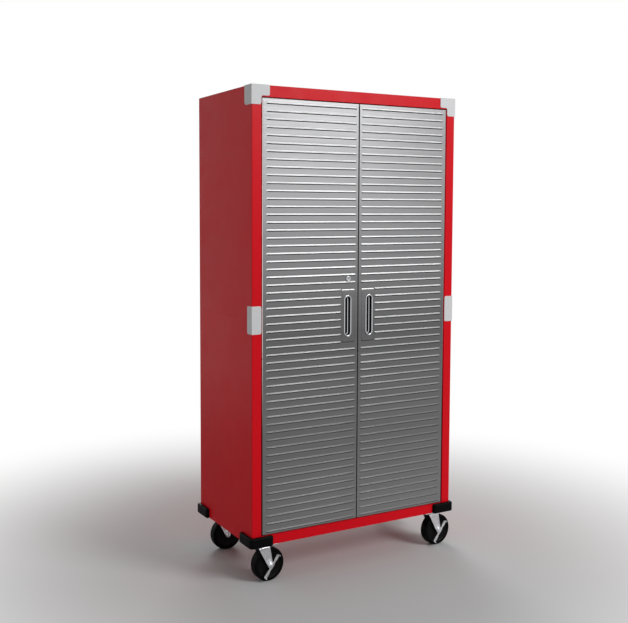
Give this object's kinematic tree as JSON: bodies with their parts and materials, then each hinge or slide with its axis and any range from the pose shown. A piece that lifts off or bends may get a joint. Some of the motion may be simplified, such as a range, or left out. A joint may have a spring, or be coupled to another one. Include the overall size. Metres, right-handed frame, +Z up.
{
  "type": "storage cabinet",
  "caption": "Tall steel storage cabinet on swivel casters, with ribbed stainless double doors, recessed pulls, a cam lock, corner guards, bumpers and shelves inside.",
  "frame": {"origin": "on the floor, under the middle of the body", "axes": "+Z up, +X to the right of someone who faces the doors, -Y out of the doors"},
  "size_m": [0.9613, 0.4832, 1.8306],
  "materials": {
    "red_paint": "glossy powder coat",
    "shelf_paint": "satin powder coat",
    "stainless": "brushed along the ribs",
    "chrome": "polished",
    "zinc": "bright zinc plate",
    "guard_plastic": "fine textured",
    "bumper_rubber": "moulded, satin",
    "wheel_rubber": "moulded, satin",
    "black_plastic": "moulded"
  },
  "bodies": {
    "carcass": {"top_panel": "red_paint", "base_frame": "red_paint", "back_lower": "red_paint", "back_upper": "red_paint", "left_side_lower": "red_paint", "left_side_upper": "red_paint", "right_side_lower": "red_paint", "right_side_upper": "red_paint", "shelf_1": "shelf_paint", "shelf_2": "shelf_paint", "shelf_3": "shelf_paint", "shelf_4": "shelf_paint", "magnetic_catch": "black_plastic", "standard_front_left": "zinc", "standard_rear_left": "zinc", "corner_guard_left": "guard_plastic", "mid_guard_left": "guard_plastic", "bumper_front_left": "bumper_rubber", "bumper_rear_left": "bumper_rubber", "left_hinge_pin_top": "zinc", "left_hinge_pin_bottom": "zinc", "standard_front_right": "zinc", "standard_rear_right": "zinc", "corner_guard_right": "guard_plastic", "mid_guard_right": "guard_plastic", "bumper_front_right": "bumper_rubber", "bumper_rear_right": "bumper_rubber", "right_hinge_pin_top": "zinc", "right_hinge_pin_bottom": "zinc", "caster_plate_front_left": "zinc", "caster_plate_front_right": "zinc", "caster_plate_rear_left": "zinc", "caster_plate_rear_right": "zinc"},
    "left_door": {"left_door_lower_skin": "stainless", "left_door_upper_skin": "stainless", "left_door_pan": "red_paint", "left_pull": "chrome", "lock_housing": "chrome"},
    "right_door": {"right_door_lower_skin": "stainless", "right_door_upper_skin": "stainless", "right_door_pan": "red_paint", "right_pull": "chrome"},
    "lock": {"lock_plug": "chrome", "lock_cam": "zinc"},
    "upper_bolt": {"slide_bolt_upper": "zinc"},
    "lower_bolt": {"slide_bolt_lower": "zinc"},
    "swivel_front_left": {"fork_front_left": "zinc", "axle_front_left": "zinc"},
    "wheel_front_left": {"wheel_front_left": "wheel_rubber"},
    "swivel_front_right": {"fork_front_right": "zinc", "axle_front_right": "zinc"},
    "wheel_front_right": {"wheel_front_right": "wheel_rubber"},
    "swivel_rear_left": {"fork_rear_left": "zinc", "axle_rear_left": "zinc"},
    "wheel_rear_left": {"wheel_rear_left": "wheel_rubber"},
    "swivel_rear_right": {"fork_rear_right": "zinc", "axle_rear_right": "zinc"},
    "wheel_rear_right": {"wheel_rear_right": "wheel_rubber"},
    "brake_front_left": {"brake_lever_front_left": "zinc"},
    "brake_front_right": {"brake_lever_front_right": "zinc"}
  },
  "joints": [
    {"name": "left_door_hinge", "type": "hinge", "parent": "carcass", "child": "left_door", "pos_m": [-0.4052, -0.2206, 0.9882], "axis": [0, 0, -1], "range_deg": [0, 100]},
    {"name": "right_door_hinge", "type": "hinge", "parent": "carcass", "child": "right_door", "pos_m": [0.4052, -0.2206, 0.9882], "axis": [0, 0, 1], "range_deg": [0, 100]},
    {"name": "lock_turn", "type": "hinge", "parent": "left_door", "child": "lock", "pos_m": [-0.046, -0.2286, 1.12708], "axis": [0, -1, 0], "range_deg": [0, 90]},
    {"name": "upper_bolt_slide", "type": "slide", "parent": "right_door", "child": "upper_bolt", "axis": [0, 0, 1], "range_m": [0, 0.012]},
    {"name": "lower_bolt_slide", "type": "slide", "parent": "right_door", "child": "lower_bolt", "axis": [0, 0, -1], "range_m": [0, 0.012]},
    {"name": "swivel_front_left_turn", "type": "hinge", "parent": "carcass", "child": "swivel_front_left", "pos_m": [-0.397, -0.18, 0.135], "axis": [0, 0, 1], "continuous": true},
    {"name": "wheel_front_left_spin", "type": "hinge", "parent": "swivel_front_left", "child": "wheel_front_left", "pos_m": [-0.36704, -0.17843, 0.0635], "axis": [-0.0523, 0.9986, 0], "continuous": true},
    {"name": "brake_front_left_press", "type": "hinge", "parent": "swivel_front_left", "child": "brake_front_left", "pos_m": [-0.36704, -0.17843, 0.0635], "axis": [-0.0523, 0.9986, 0], "range_deg": [0, 20]},
    {"name": "swivel_front_right_turn", "type": "hinge", "parent": "carcass", "child": "swivel_front_right", "pos_m": [0.397, -0.18, 0.135], "axis": [0, 0, 1], "continuous": true},
    {"name": "wheel_front_right_spin", "type": "hinge", "parent": "swivel_front_right", "child": "wheel_front_right", "pos_m": [0.42696, -0.17843, 0.0635], "axis": [-0.0523, 0.9986, 0], "continuous": true},
    {"name": "brake_front_right_press", "type": "hinge", "parent": "swivel_front_right", "child": "brake_front_right", "pos_m": [0.42696, -0.17843, 0.0635], "axis": [-0.0523, 0.9986, 0], "range_deg": [0, 20]},
    {"name": "swivel_rear_left_turn", "type": "hinge", "parent": "carcass", "child": "swivel_rear_left", "pos_m": [-0.397, 0.18, 0.135], "axis": [0, 0, 1], "continuous": true},
    {"name": "wheel_rear_left_spin", "type": "hinge", "parent": "swivel_rear_left", "child": "wheel_rear_left", "pos_m": [-0.367, 0.18, 0.0635], "axis": [0, 1, 0], "continuous": true},
    {"name": "swivel_rear_right_turn", "type": "hinge", "parent": "carcass", "child": "swivel_rear_right", "pos_m": [0.397, 0.18, 0.135], "axis": [0, 0, 1], "continuous": true},
    {"name": "wheel_rear_right_spin", "type": "hinge", "parent": "swivel_rear_right", "child": "wheel_rear_right", "pos_m": [0.42698, 0.18105, 0.0635], "axis": [-0.0349, 0.9994, 0], "continuous": true}
  ]
}
